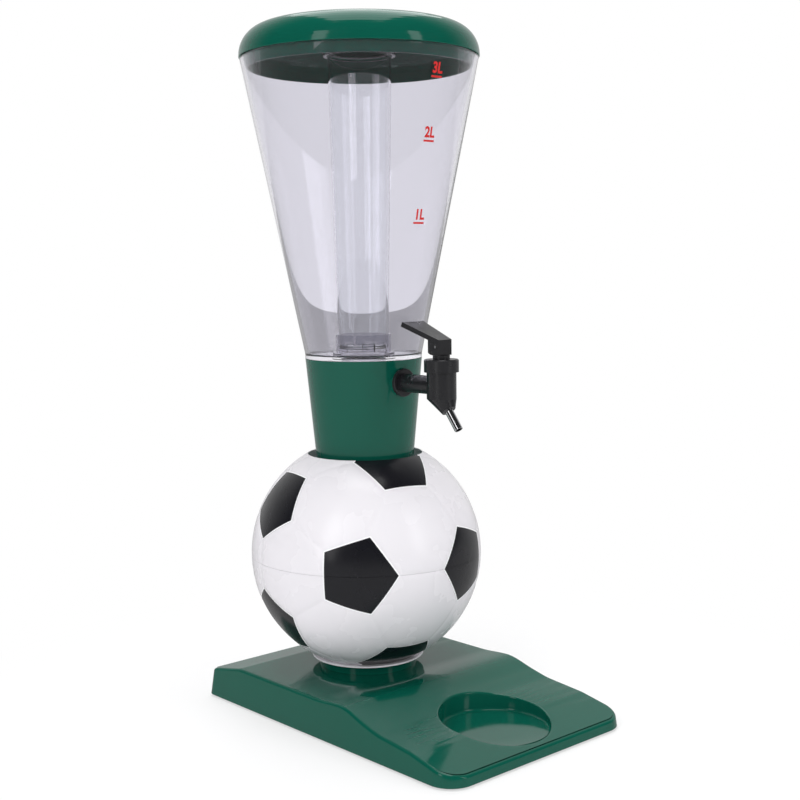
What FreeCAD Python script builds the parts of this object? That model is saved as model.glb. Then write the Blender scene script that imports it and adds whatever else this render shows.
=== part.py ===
import FreeCAD, Part
import Sketcher
import math
import os
import re

# Beer tower dispenser: a drip base with a glass recess, a hollow football, a collar
# with a spring tap, a clear tapered reservoir, and a lid that carries an ice tube.
# Millimetres, +Z up. The origin is under the middle of the base, on the table.
# The tap points along -Y. Heights are above the table, and a run is a distance
# back from the front edge of the base.

DIMENSIONS = {
    "base_length": 300.0,
    "base_width": 198.0,
    "base_corner": 21.0,
    "base_draft": 0.145,
    "base_wall": 2.8,
    "base_rim": 1.5,
    "base_edge": 1.8,
    "front_height": 9.8,
    "crease_run": 44.8,
    "crease_height": 18.9,
    "shelf_run": 78.0,
    "shelf_height": 22.1,
    "shelf_slope": 0.09,
    "rise_run": 96.1,
    "rise_height": 25.94,
    "crest_run": 125.6,
    "crest_height": 33.4,
    "deck_run": 156.0,
    "deck_height": 30.8,
    "rear_slope": 41.0,
    "rear_height": 18.2,
    "rib_thickness": 2.0,
    "glass_radius": 43.5,
    "glass_run": 52.0,
    "glass_floor": 9.5,
    "tower_run": 201.5,
    "pad_radius": 30.0,
    "pad_height": 3.2,
    "foot_radius": 9.0,
    "foot_height": 3.0,
    "foot_inset": 25.0,
    "foot_chamfer": 0.4,
    "base_screw_offset": 13.4,
    "base_screw_radius": 1.9,
    "base_screw_length": 20.0,
    "screw_head_radius": 3.8,
    "screw_head_height": 2.4,
    "screw_clearance": 0.2,
    "ball_radius": 97.0,
    "ball_flat": 27.2,
    "ball_wall": 2.6,
    "ball_opening": 48.3,
    "ball_boss_height": 14.0,
    "boss_wall": 2.9,
    "tongue_height": 2.0,
    "tongue_wall": 1.17,
    "tongue_clearance": 0.15,
    "seam_chamfer": 0.5,
    "socket_depth": 14.0,
    "socket_wall": 2.5,
    "socket_hole": 21.6,
    "collar_foot_radius": 39.9,
    "collar_top_radius": 48.7,
    "collar_height": 93.9,
    "collar_wall": 3.0,
    "chamber_depth": 37.1,
    "collar_screw_offset": 24.0,
    "collar_screw_radius": 1.6,
    "collar_screw_length": 14.0,
    "collar_screw_head": 3.23,
    "seat_gap": 0.1,
    "reservoir_rim_radius": 97.6,
    "reservoir_height": 244.5,
    "reservoir_wall": 3.0,
    "reservoir_floor": 3.4,
    "neck_radius": 43.6,
    "neck_depth": 6.2,
    "neck_wall": 3.0,
    "neck_clearance": 0.4,
    "gasket_section": 1.1,
    "gasket_groove": 0.6,
    "drain_radius": 19.0,
    "socket_ring_radius": 23.0,
    "socket_ring_wall": 1.7,
    "socket_ring_height": 16.5,
    "window_height": 6.0,
    "window_width": 13.0,
    "window_sill": 2.8,
    "lid_radius": 98.2,
    "lid_height": 25.6,
    "lid_shoulder": 24.2,
    "lid_wall": 2.8,
    "lid_inner_radius": 91.4,
    "lid_inner_shoulder": 20.0,
    "skirt_depth": 8.6,
    "skirt_wall": 2.2,
    "skirt_clearance": 0.5,
    "hub_radius": 30.0,
    "hub_wall": 2.8,
    "hub_height": 18.0,
    "tube_top_radius": 26.3,
    "tube_foot_radius": 20.8,
    "tube_foot_lift": 4.5,
    "tube_wall": 1.8,
    "tube_flange": 2.4,
    "tube_seal_height": 0.9,
    "tube_thread_height": 13.0,
    "thread_clearance": 0.2,
    "tap_reach": 93.5,
    "tap_drop": 18.1,
    "tap_boss_radius": 11.0,
    "outer_face": 47.8,
    "inner_face": 41.2,
    "flange_radius": 11.5,
    "flange_thickness": 1.7,
    "washer_thickness": 1.5,
    "washer_inset": 0.3,
    "shank_radius": 7.4,
    "shank_thread_radius": 6.0,
    "shank_bore": 3.8,
    "nut_width": 20.0,
    "nut_thickness": 6.0,
    "nut_bevel": 0.95,
    "shank_end": 3.0,
    "barrel_radius": 11.75,
    "shank_height": 10.0,
    "barrel_shoulder": 21.0,
    "barrel_top": 27.0,
    "barrel_thread_radius": 11.2,
    "valve_chamber_radius": 8.4,
    "valve_seat": 3.0,
    "seat_ring": 0.5,
    "seat_ring_wall": 1.6,
    "valve_bore": 3.0,
    "nozzle_radius": 5.8,
    "nozzle_forward": 8.0,
    "nozzle_drop": 9.0,
    "spout_slant": 38.0,
    "spout_radius": 3.4,
    "spout_wall": 0.7,
    "spout_length": 17.8,
    "spout_seat": 6.0,
    "bonnet_radius": 13.75,
    "bonnet_top": 31.3,
    "bonnet_roof": 3.1,
    "bonnet_boss_radius": 6.8,
    "bonnet_boss_top": 34.4,
    "bonnet_chamfer": 0.8,
    "stem_radius": 3.0,
    "stem_clearance": 0.07,
    "stem_flat": 2.5,
    "stem_tongue": 2.3,
    "stem_shoulder": 5.2,
    "shoulder_height": 1.0,
    "seal_radius": 6.3,
    "seal_height": 4.0,
    "spigot_radius": 2.0,
    "spring_radius": 4.5,
    "spring_wire": 0.45,
    "spring_turns": 6.0,
    "spring_washer": 0.7,
    "pin_radius": 1.1,
    "pin_clearance": 0.06,
    "pin_height": 41.05,
    "lever_half_width": 7.1,
    "lever_tip_half_width": 12.1,
    "lever_front": 4.3,
    "lever_top": 5.6,
    "lever_tip_reach": 32.7,
    "lever_tip_rise": 18.8,
    "lever_thickness": 3.8,
    "lever_travel": 40.0,
    "lever_ratio": 3.0,
    "cam_clearance": 0.15,
    "slot_clearance": 0.25,
}

PLACES = {
    "tower_y": "dims.tower_run - dims.base_length / 2",
    "glass_y": "dims.glass_run - dims.base_length / 2",
    "tap_y": "places.tower_y - dims.tap_reach",
    "ball_bottom": "dims.deck_height + dims.pad_height",
    "ball_centre": "places.ball_bottom + sqrt(pow(dims.ball_radius; 2) - pow(dims.ball_flat; 2))",
    "ball_mouth": "places.ball_centre + sqrt(pow(dims.ball_radius; 2) - pow(dims.ball_opening; 2))",
    "collar_base": "places.ball_mouth - dims.socket_depth",
    "collar_top": "places.collar_base + dims.collar_height",
    "reservoir_base": "places.collar_top + dims.seat_gap",
    "lid_base": "places.reservoir_base + dims.reservoir_height + dims.seat_gap",
    "tap_base": "places.collar_top - dims.tap_drop - dims.shank_height",
}

V = FreeCAD.Vector
UP = V(0, 0, 1)
SIDE = V(1, 0, 0)
BACK = V(0, 1, 0)

doc = FreeCAD.newDocument("beer_tower")
sheet = doc.addObject("Spreadsheet::Sheet", "dims")
for row, (alias, value) in enumerate(DIMENSIONS.items(), 1):
    sheet.set(f"A{row}", alias)
    sheet.set(f"B{row}", str(value))
    sheet.setAlias(f"B{row}", alias)
derived = doc.addObject("Spreadsheet::Sheet", "places")
for row, (alias, formula) in enumerate(PLACES.items(), 1):
    derived.set(f"A{row}", alias)
    derived.setAlias(f"B{row}", alias)
    derived.set(f"B{row}", "=" + formula.replace("places.", ""))
doc.recompute()

nodes = {}


def size(alias):
    """A driving dimension, or a place worked out from them, as its sheet holds it."""
    holder = sheet if alias in DIMENSIONS else derived
    return float(holder.get(alias))


def bound(formula):
    """An expression on the two sheets from a formula that names their aliases."""

    def full_name(match):
        alias = match.group()
        return ("dims." if alias in DIMENSIONS else "places.") + alias

    return re.sub(r"[a-z]\w*", full_name, formula)


def keep(label, feature):
    """Names a finished sub-part, so that it is checked and written at the end."""
    feature.Label = label
    nodes[label] = feature
    return feature


def shaped(label, shape):
    """A sub-part whose shape is worked out from the sheet's sizes."""
    feature = doc.addObject("Part::Feature", label)
    feature.Shape = shape
    return keep(label, feature)


def turned(label, outline, place):
    """A body revolved about its own Z axis from an outline of (radius, height) formulas."""
    body = doc.addObject("PartDesign::Body", label)
    sketch = body.newObject("Sketcher::SketchObject", label + "_outline")
    plane = [item for item in body.Origin.OriginFeatures if item.Role == "XZ_Plane"][0]
    sketch.AttachmentSupport = [(plane, "")]
    sketch.MapMode = "FlatFace"
    count = len(outline)
    start = []
    for index in range(count):
        angle = 2 * math.pi * index / count
        start.append(V(30 + 10 * math.cos(angle), 30 + 10 * math.sin(angle), 0))
    for index in range(count):
        sketch.addGeometry(Part.LineSegment(start[index], start[(index + 1) % count]), False)
    for index in range(count):
        sketch.addConstraint(Sketcher.Constraint("Coincident", index, 2, (index + 1) % count, 1))
    for index, (radius, height) in enumerate(outline):
        for kind, formula, first in (
            ("DistanceX", radius, start[index].x),
            ("DistanceY", height, start[index].y),
        ):
            if formula == "0":
                axis = -2 if kind == "DistanceX" else -1
                sketch.addConstraint(Sketcher.Constraint("PointOnObject", index, 1, axis))
            else:
                number = sketch.addConstraint(Sketcher.Constraint(kind, -1, 1, index, 1, first))
                sketch.setExpression(f"Constraints[{number}]", bound(formula))
    doc.recompute()
    turn = body.newObject("PartDesign::Revolution", label + "_turn")
    turn.Profile = sketch
    turn.ReferenceAxis = (sketch, ["V_Axis"])
    turn.Angle = 360
    for axis, formula in zip("xyz", place):
        body.setExpression(f"Placement.Base.{axis}", bound(formula))
    doc.recompute()
    return body


def rounded(body, radius, corners):
    """Fillets the circular edges of a turned body that lie at (radius, height) corners."""
    base = body.Tip
    edges = []
    for number, edge in enumerate(base.Shape.Edges, 1):
        if not isinstance(edge.Curve, Part.Circle) or len(edge.Vertexes) != 1:
            continue
        for corner_radius, corner_height in corners:
            near_radius = abs(edge.Curve.Radius - corner_radius) < 0.01
            if near_radius and abs(edge.Curve.Center.z - corner_height) < 0.01:
                edges.append(f"Edge{number}")
    fillet = body.newObject("PartDesign::Fillet", body.Name + "_fillet")
    fillet.Base = (base, edges)
    fillet.setExpression("Radius", bound(radius))
    body.Tip = fillet
    doc.recompute()
    return body


def cylinder(radius, start, direction, length):
    return Part.makeCylinder(radius, length, start, direction)


def ring(outer, inner, start, direction, length):
    return cylinder(outer, start, direction, length).cut(cylinder(inner, start, direction, length))


def corners_of(offset, centre_y, z):
    """Four points of a square fastener pattern."""
    points = []
    for sign_x in (-1, 1):
        for sign_y in (-1, 1):
            points.append(V(sign_x * offset, centre_y + sign_y * offset, z))
    return points


def rounded_rectangle(width, length, radius, z):
    """A closed wire of four sides and four corner arcs, centred on the origin."""
    half_x = width / 2
    half_y = length / 2
    edges = []
    for turn, (reach, spread) in enumerate(((half_x, half_y), (half_y, half_x)) * 2):
        rotation = FreeCAD.Rotation(UP, 90 * turn)
        middle = V(reach - radius, spread - radius, z)
        diagonal = radius * math.sqrt(0.5)
        side = (V(reach, radius - spread, z), V(reach, spread - radius, z))
        arc = (side[1], middle + V(diagonal, diagonal, 0), middle + V(0, radius, 0))
        side = [rotation.multVec(point) for point in side]
        arc = [rotation.multVec(point) for point in arc]
        edges.append(Part.makeLine(*side))
        edges.append(Part.Arc(*arc).toShape())
    return Part.Wire(edges)


def drafted_block(inset, z_top):
    """The base's plan, drawn in by an inset and leaning in with height."""
    width = size("base_width") - 2 * inset
    length = size("base_length") - 2 * inset
    corner = size("base_corner") - inset
    lean = size("base_draft") * (z_top - size("base_rim"))
    low = rounded_rectangle(width, length, corner, size("base_rim"))
    high = rounded_rectangle(width - 2 * lean, length - 2 * lean, corner - lean, z_top)
    return Part.makeLoft([low, high], True, True)


def under_top(lowered):
    """Everything below the base's wavy top, lowered by a wall thickness."""
    half_width = size("base_width")
    front = -size("base_length") / 2
    overrun = size("base_corner")

    def point(run, height):
        return V(-half_width, front + run, height - lowered)

    rear_run = size("base_length") - size("rear_slope")
    shelf = point(size("shelf_run"), size("shelf_height"))
    deck = point(size("deck_run"), size("deck_height"))
    wave = Part.BSplineCurve()
    wave.interpolate(
        Points=[
            shelf,
            point(size("rise_run"), size("rise_height")),
            point(size("crest_run"), size("crest_height")),
            deck,
        ],
        InitialTangent=V(0, 1, size("shelf_slope")),
        FinalTangent=V(0, 1, 0),
    )
    crease = point(size("crease_run"), size("crease_height"))
    slope = (size("crease_height") - size("front_height")) / size("crease_run")
    ahead = point(-overrun, size("front_height") - overrun * slope)
    rear_fall = (size("deck_height") - size("rear_height")) / size("rear_slope")
    behind = point(size("base_length") + overrun, size("rear_height") - overrun * rear_fall)
    turn = point(rear_run, size("deck_height"))
    low_back = V(-half_width, behind.y, -overrun)
    low_front = V(-half_width, ahead.y, -overrun)
    edges = [Part.makeLine(ahead, crease), Part.makeLine(crease, shelf), wave.toShape()]
    edges.append(Part.makeLine(deck, turn))
    edges.append(Part.makeLine(turn, behind))
    edges.append(Part.makeLine(behind, low_back))
    edges.append(Part.makeLine(low_back, low_front))
    edges.append(Part.makeLine(low_front, ahead))
    return Part.Face(Part.Wire(edges)).extrude(V(2 * half_width, 0, 0))


def top_edges(block):
    """The edges where the base's top meets its sides."""
    chosen = []
    for edge in block.Edges:
        box = edge.BoundBox
        drawn_in = size("base_draft") * box.ZMax + size("base_edge")
        beside = max(abs(box.XMin), abs(box.XMax)) > size("base_width") / 2 - drawn_in
        at_end = max(abs(box.YMin), abs(box.YMax)) > size("base_length") / 2 - drawn_in
        corner = min(box.XLength, box.YLength) > size("base_edge")
        lies_flat = max(box.XLength, box.YLength) > box.ZLength
        crosses = box.XLength > size("base_width") - 3 * size("base_corner") and not at_end
        if box.ZMin > size("front_height") / 2 and (beside or at_end or corner) and lies_flat and not crosses:
            chosen.append(edge)
    return chosen


def base_shell():
    tall = size("crest_height") + size("base_corner") / 2
    wall = size("base_wall")
    tower = V(0, size("tower_y"), 0)
    glass = V(0, size("glass_y"), 0)
    solid = drafted_block(0, tall).common(under_top(0))
    solid = solid.makeFillet(size("base_edge"), top_edges(solid))
    hollow = drafted_block(wall, tall).common(under_top(wall))
    shell = solid.cut(hollow)
    glass_floor = size("glass_floor")
    well_start = glass + UP * (glass_floor - wall)
    well = cylinder(size("glass_radius") + wall, well_start, UP, tall).common(solid)
    pad = cylinder(size("pad_radius"), tower + UP * (size("deck_height") - wall), UP, size("pad_height") + wall)
    additions = [well, pad]
    head_top = size("deck_height") - wall - size("screw_head_height") * 1.5
    for spot in corners_of(size("base_screw_offset"), size("tower_y"), head_top):
        land_radius = size("screw_head_radius") + size("rib_thickness")
        additions.append(cylinder(land_radius, spot, UP, size("deck_height") - head_top))
    for spot in foot_spots(size("base_rim")):
        post = cylinder(size("foot_radius") + wall / 2, spot, UP, tall)
        additions.append(post.common(solid))
    additions.extend(ribs(solid, tall))
    shell = shell.fuse(additions)
    cuts = [cylinder(size("glass_radius"), glass + UP * glass_floor, UP, tall)]
    for spot in corners_of(size("base_screw_offset"), size("tower_y"), 0):
        cuts.append(cylinder(size("base_screw_radius") + size("screw_clearance"), spot, UP, tall))
    for spot in foot_spots(0):
        cuts.append(cylinder(size("foot_radius"), spot, UP, size("foot_height")))
    return shell.cut(cuts).removeSplitter()


def foot_spots(z):
    inset = size("foot_inset")
    spots = []
    for sign_x in (-1, 1):
        for sign_y in (-1, 1):
            x = sign_x * (size("base_width") / 2 - inset)
            y = sign_y * (size("base_length") / 2 - inset)
            spots.append(V(x, y, z))
    return spots


def ribs(solid, tall):
    """Stiffening ribs under the deck, kept clear of the glass well."""
    low = size("base_rim") + size("foot_height")
    thin = size("rib_thickness")
    lean = size("base_draft") * tall
    long_start = size("glass_y") + size("glass_radius") + size("base_wall") / 2
    long_end = size("base_length") / 2 - lean
    wide = size("base_width") / 2 - lean
    plates = []
    for x in (-wide / 2, wide / 2):
        plates.append(Part.makeBox(thin, long_end - long_start, tall, V(x - thin / 2, long_start, low)))
    for y in (long_start + size("glass_radius") / 2, size("tower_y"), long_end - size("rear_slope") / 2):
        plates.append(Part.makeBox(2 * wide, thin, tall, V(-wide, y - thin / 2, low)))
    underside = under_top(size("base_wall") / 2)
    clear = cylinder(
        size("screw_head_radius") + size("rib_thickness") + size("base_screw_offset") * math.sqrt(2),
        V(0, size("tower_y"), low),
        UP,
        size("deck_height") - size("base_wall") - low - size("screw_head_height") * 1.5,
    )
    return [plate.common(underside).common(solid).cut(clear) for plate in plates]


def rubber_feet():
    feet = []
    for spot in foot_spots(0):
        foot = cylinder(size("foot_radius"), spot, UP, size("foot_height"))
        feet.append(foot.makeChamfer(size("foot_chamfer"), [foot.Edges[2]]))
    return Part.makeCompound(feet)


def ball_shell(upper):
    """One half of the hollow football, with its half of the tongue and groove at the seam."""
    radius = size("ball_radius")
    wall = size("ball_wall")
    inside = radius - wall
    centre = V(0, size("tower_y"), size("ball_centre"))
    tongue = inside + size("tongue_wall")
    direction = UP if upper else -UP
    band = cylinder(2 * radius, centre, direction, 2 * radius)
    half = Part.makeSphere(radius, centre).common(band)
    hollow = Part.makeSphere(inside, centre)
    chamfer = size("seam_chamfer")
    edge_cut = ring(2 * radius, radius - chamfer, centre, direction, chamfer)
    if upper:
        half = half.cut(hollow)
        slack = size("tongue_clearance")
        rebate = cylinder(tongue + slack, centre, UP, size("tongue_height") + slack)
        mouth_depth = size("socket_depth") + size("socket_wall")
        seat = V(0, size("tower_y"), size("ball_mouth") - mouth_depth)
        opening = size("ball_opening")
        lining = cylinder(opening + size("socket_wall"), seat, UP, radius).common(Part.makeSphere(radius, centre))
        socket = cylinder(opening, seat + UP * size("socket_wall"), UP, radius)
        cable_hole = cylinder(size("socket_hole"), seat, UP, radius)
        half = half.fuse(lining).cut([rebate, edge_cut, socket, cable_hole])
        screw_radius = size("collar_screw_radius") + size("screw_clearance")
        spots = corners_of(size("collar_screw_offset"), size("tower_y"), seat.z)
        holes = [cylinder(screw_radius, spot, UP, size("socket_wall")) for spot in spots]
        return half.cut(holes)
    floor = size("ball_bottom") + wall
    above_floor = cylinder(radius, V(0, centre.y, floor), UP, radius)
    half = half.cut([hollow.common(above_floor), edge_cut])
    lip = ring(tongue, inside, centre - UP * wall, UP, size("tongue_height") + wall)
    lip = lip.cut(Part.makeSphere(inside, centre).common(band))
    bosses = []
    pilots = []
    for spot in corners_of(size("base_screw_offset"), size("tower_y"), size("ball_bottom")):
        boss_radius = size("base_screw_radius") + size("boss_wall")
        bosses.append(cylinder(boss_radius, spot, UP, size("ball_boss_height") + wall))
        pilots.append(cylinder(size("base_screw_radius"), spot, UP, size("ball_boss_height")))
    half = half.fuse([lip] + bosses).cut(pilots)
    below = cylinder(radius, V(0, centre.y, 0), UP, size("ball_bottom"))
    return half.cut(below)


def pan_screws(spots, shank_radius, shank_length, head_radius, head_height):
    """Identical screws, each with its head below the point where its shank starts."""
    screws = []
    for spot in spots:
        shank = cylinder(shank_radius, spot, UP, shank_length)
        head = cylinder(head_radius, spot - UP * head_height, UP, head_height)
        rim = [edge for edge in head.Edges if abs(edge.CenterOfMass.z - spot.z + head_height) < 0.01]
        slot_width = head_height * 0.4
        head = head.makeFillet(slot_width, rim)
        recess = Part.makeBox(head_radius, slot_width, head_height / 2)
        recess.translate(spot - V(head_radius / 2, slot_width / 2, head_height))
        cross = recess.copy()
        cross.rotate(spot, UP, 90)
        screws.append(head.fuse(shank).cut([recess, cross]))
    return Part.makeCompound(screws)


def with_holes(label, body, additions, cuts):
    """A turned body with solids fused to it and others cut out of it."""
    shape = body.Shape
    if additions:
        shape = shape.fuse(additions)
    return shaped(label, shape.cut(cuts))


def cone_between(low_radius, high_radius, low, height):
    return Part.makeCone(low_radius, high_radius, height, low)


def collar():
    """The green cup: a beer chamber above, and an open skirt with screw bosses below."""
    tower = "collar_foot_radius"
    taper = "(collar_top_radius - collar_foot_radius) / collar_height"
    deep = "(collar_height - chamber_depth)"
    under = "(collar_height - chamber_depth - collar_wall)"
    outline = [
        (tower, "0"),
        ("collar_top_radius", "collar_height"),
        ("collar_top_radius - collar_wall", "collar_height"),
        (f"collar_foot_radius + {taper} * {deep} - collar_wall", deep),
        ("0", deep),
        ("0", under),
        (f"collar_foot_radius + {taper} * {under} - collar_wall", under),
        ("collar_foot_radius - collar_wall", "0"),
    ]
    body = turned("collar_cup", outline, ("0", "tower_y", "collar_base"))
    base = size("collar_base")
    foot = V(0, size("tower_y"), base)
    envelope = cone_between(size("collar_foot_radius"), size("collar_top_radius"), foot, size("collar_height"))
    additions = []
    cuts = []
    skirt = size("collar_height") - size("chamber_depth") - size("collar_wall") / 2
    for spot in corners_of(size("collar_screw_offset"), size("tower_y"), base):
        boss = cylinder(size("collar_screw_radius") + size("boss_wall"), spot, UP, skirt)
        additions.append(boss.common(envelope))
        cuts.append(cylinder(size("collar_screw_radius"), spot, UP, size("collar_screw_length")))
    axis = tap_point(0, size("shank_height"))
    inner_start = axis + BACK * (size("tap_reach") - size("collar_top_radius"))
    inner_depth = size("collar_top_radius") - size("inner_face")
    inner_pad = cylinder(size("flange_radius"), inner_start, BACK, inner_depth)
    neck_low = foot + UP * (size("collar_height") - size("neck_depth") - size("neck_clearance"))
    neck_space = cylinder(size("neck_radius"), neck_low, UP, size("neck_depth"))
    outer_start = axis + BACK * (size("tap_reach") - size("outer_face"))
    outer_pad = cylinder(size("tap_boss_radius"), outer_start, BACK, size("outer_face") - size("inner_face"))
    additions.append(inner_pad.common(envelope).cut(neck_space))
    additions.append(outer_pad)
    cuts.append(cylinder(size("flange_radius"), outer_start, -BACK, size("flange_radius")))
    shank_hole = size("shank_thread_radius") + size("screw_clearance")
    cuts.append(cylinder(shank_hole, outer_start, BACK, size("outer_face")))
    with_holes("collar", body, additions, cuts)


def tap_point(forward, height):
    """A point on the tap's own middle plane: forward of its axis, above its barrel's foot."""
    return V(0, size("tap_y") - forward, size("tap_base") + height)


def collar_screws():
    base = size("collar_base") - size("socket_wall")
    screws = pan_screws(
        corners_of(size("collar_screw_offset"), size("tower_y"), base),
        size("collar_screw_radius"),
        size("collar_screw_length"),
        size("collar_screw_head"),
        size("screw_head_height"),
    )
    shaped("collar_screws", screws)


def tap_washers_and_nut():
    """What clamps the tap's threaded shank in the collar's wall."""
    axis = tap_point(0, size("shank_height"))
    bore = size("shank_thread_radius")
    thick = size("washer_thickness")
    outer_face = axis + BACK * (size("tap_reach") - size("outer_face"))
    inner_face = axis + BACK * (size("tap_reach") - size("inner_face"))
    washer_radius = size("flange_radius") - size("washer_inset")
    shaped("tap_outer_washer", ring(washer_radius, bore, outer_face - BACK * thick, BACK, thick))
    shaped("tap_inner_washer", ring(washer_radius, bore, inner_face, BACK, thick))
    nut_start = inner_face + BACK * thick
    corner_radius = size("nut_width") / math.sqrt(3)
    corners = []
    for index in range(7):
        angle = math.radians(60 * index)
        corners.append(nut_start + V(corner_radius * math.cos(angle), 0, corner_radius * math.sin(angle)))
    nut = Part.Face(Part.makePolygon(corners)).extrude(BACK * size("nut_thickness"))
    face_radius = corner_radius * size("nut_bevel")
    bevel = Part.makeCone(face_radius + 2 * corner_radius, face_radius, 2 * corner_radius, nut_start, BACK)
    bevel.translate(BACK * (size("nut_thickness") - 2 * corner_radius))
    nut = nut.common(bevel)
    shaped("tap_nut", nut.cut(cylinder(bore, nut_start, BACK, size("nut_thickness"))))


def spout_axis():
    """Where the spout leaves the nozzle, and the way it points."""
    slant = math.radians(size("spout_slant"))
    mouth = tap_point(size("nozzle_forward"), -size("nozzle_drop"))
    return mouth, V(0, -math.sin(slant), -math.cos(slant))


def tap_body():
    """Barrel, threaded shank and slanted nozzle in one moulding, bored through for the beer."""
    foot = tap_point(0, 0)
    top = size("barrel_top")
    shoulder = size("barrel_shoulder")
    axis = tap_point(0, size("shank_height"))
    mouth, slant = spout_axis()
    barrel = cylinder(size("barrel_radius"), foot, UP, shoulder)
    neck = cylinder(size("barrel_thread_radius"), foot, UP, top)
    reach = size("tap_reach")
    flange_y = reach - size("outer_face") - size("washer_thickness")
    flange_start = axis + BACK * (flange_y - size("flange_thickness"))
    shank = cylinder(size("shank_radius"), axis, BACK, flange_y)
    flange = cylinder(size("flange_radius"), flange_start, BACK, size("flange_thickness"))
    rim = [edge for edge in flange.Edges if abs(edge.CenterOfMass.y - flange_start.y) < 0.01]
    flange = flange.makeFillet(size("flange_thickness") * 0.6, rim)
    clamped = size("washer_thickness") + size("nut_thickness")
    thread_end = reach - size("inner_face") + clamped + size("shank_end")
    thread = cylinder(size("shank_thread_radius"), axis, BACK, thread_end)
    wide = Part.Wire(Part.makeCircle(size("barrel_radius"), foot, UP))
    narrow = Part.Wire(Part.makeCircle(size("nozzle_radius"), mouth, -slant))
    nozzle = Part.makeLoft([narrow, wide], True, True)
    body = barrel.fuse([neck, shank, flange, thread, nozzle])
    seat = size("valve_seat")
    chamber = cylinder(size("valve_chamber_radius"), foot + UP * (seat - size("seat_ring")), UP, top)
    seat_ring = cylinder(size("valve_bore") + size("seat_ring_wall"), foot, UP, seat)
    inlet = cylinder(size("shank_bore"), axis, BACK, thread_end)
    bore_low = size("nozzle_drop") / 2
    bore = cylinder(size("valve_bore"), foot - UP * bore_low, UP, seat + bore_low)
    outlet_start = mouth - slant * size("spout_length") * 0.75
    outlet = cylinder(size("spout_radius") - size("spout_wall"), outlet_start, slant, size("spout_length") * 0.8)
    foot_space = cylinder(size("nozzle_radius"), foot - UP * size("nozzle_drop"), UP, size("nozzle_drop"))
    socket = cylinder(size("spout_radius"), mouth - slant * size("spout_seat"), slant, size("spout_seat") + 1)
    body = body.cut(chamber).fuse(seat_ring).cut([inlet, bore, outlet.common(foot_space.fuse(nozzle)), socket])
    shaped("tap_body", body.removeSplitter())


def spout_tube():
    mouth, slant = spout_axis()
    start = mouth - slant * size("spout_seat")
    length = size("spout_seat") + size("spout_length")
    inner = size("spout_radius") - size("spout_wall")
    shaped("spout_tube", ring(size("spout_radius"), inner, start, slant, length))


def tap_bonnet():
    """The screw cap of the valve, with a boss on which the lever's cam turns."""
    skirt = "thread_clearance"
    roof = "(bonnet_top - bonnet_roof - barrel_shoulder)"
    top = "(bonnet_top - barrel_shoulder)"
    boss_top = "(bonnet_boss_top - barrel_shoulder)"
    outline = [
        ("barrel_thread_radius", skirt),
        ("bonnet_radius", skirt),
        ("bonnet_radius", f"{top} - bonnet_chamfer"),
        ("bonnet_radius - bonnet_chamfer", top),
        ("bonnet_boss_radius", top),
        ("bonnet_boss_radius", boss_top),
        ("stem_radius + stem_clearance", boss_top),
        ("stem_radius + stem_clearance", roof),
        ("barrel_thread_radius", roof),
    ]
    keep("tap_bonnet", turned("tap_bonnet", outline, ("0", "tap_y", "tap_base + barrel_shoulder")))
    roof_gap = [
        ("valve_chamber_radius + stem_clearance", "0"),
        ("barrel_thread_radius - thread_clearance", "0"),
        ("barrel_thread_radius - thread_clearance", "bonnet_top - bonnet_roof - barrel_top"),
        ("valve_chamber_radius + stem_clearance", "bonnet_top - bonnet_roof - barrel_top"),
    ]
    keep("bonnet_seal", turned("bonnet_seal", roof_gap, ("0", "tap_y", "tap_base + barrel_top")))


def valve_stem():
    """The stem with its spring shoulder, seal spigot and flattened eye, and what it carries."""
    seal_base = size("valve_seat") + size("seat_gap")
    seal_top = seal_base + size("seal_height")
    spigot_low = seal_base + size("seal_height") * 0.4
    pin = size("pin_height")
    flats_start = size("bonnet_top") - size("bonnet_roof") + 2
    shoulder = cylinder(size("stem_shoulder"), tap_point(0, seal_top), UP, size("shoulder_height"))
    spigot = cylinder(size("spigot_radius"), tap_point(0, spigot_low), UP, seal_top - spigot_low)
    rod = cylinder(size("stem_radius"), tap_point(0, seal_top), UP, pin + size("stem_tongue") - seal_top)
    eye_centre = tap_point(0, pin) - SIDE * size("stem_radius")
    eye = cylinder(size("stem_tongue"), eye_centre, SIDE, 2 * size("stem_radius"))
    tongue = Part.makeBox(
        2 * size("stem_flat"),
        2 * size("stem_tongue"),
        pin - flats_start,
        tap_point(size("stem_tongue"), flats_start) - SIDE * size("stem_flat"),
    )
    slab = Part.makeBox(
        2 * size("stem_flat"),
        2 * size("stem_radius"),
        pin,
        tap_point(size("stem_radius"), flats_start) - SIDE * size("stem_flat"),
    )
    lower = cylinder(size("stem_radius"), tap_point(0, seal_top), UP, flats_start - seal_top)
    stem = rod.common(lower.fuse([tongue, eye.common(slab)])).fuse([shoulder, spigot])
    pin_hole = cylinder(size("pin_radius"), eye_centre - SIDE, SIDE, 2 * size("stem_radius") + 2)
    shaped("valve_stem", stem.cut(pin_hole).removeSplitter())
    seal = cylinder(size("seal_radius"), tap_point(0, seal_base), UP, size("seal_height"))
    seal = seal.cut(cylinder(size("spigot_radius"), tap_point(0, spigot_low), UP, size("seal_height")))
    shaped("valve_seal", seal)
    half_pin = size("lever_half_width") - 0.3
    shaped("lever_pin", cylinder(size("pin_radius"), tap_point(0, pin) - SIDE * half_pin, SIDE, 2 * half_pin))


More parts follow.
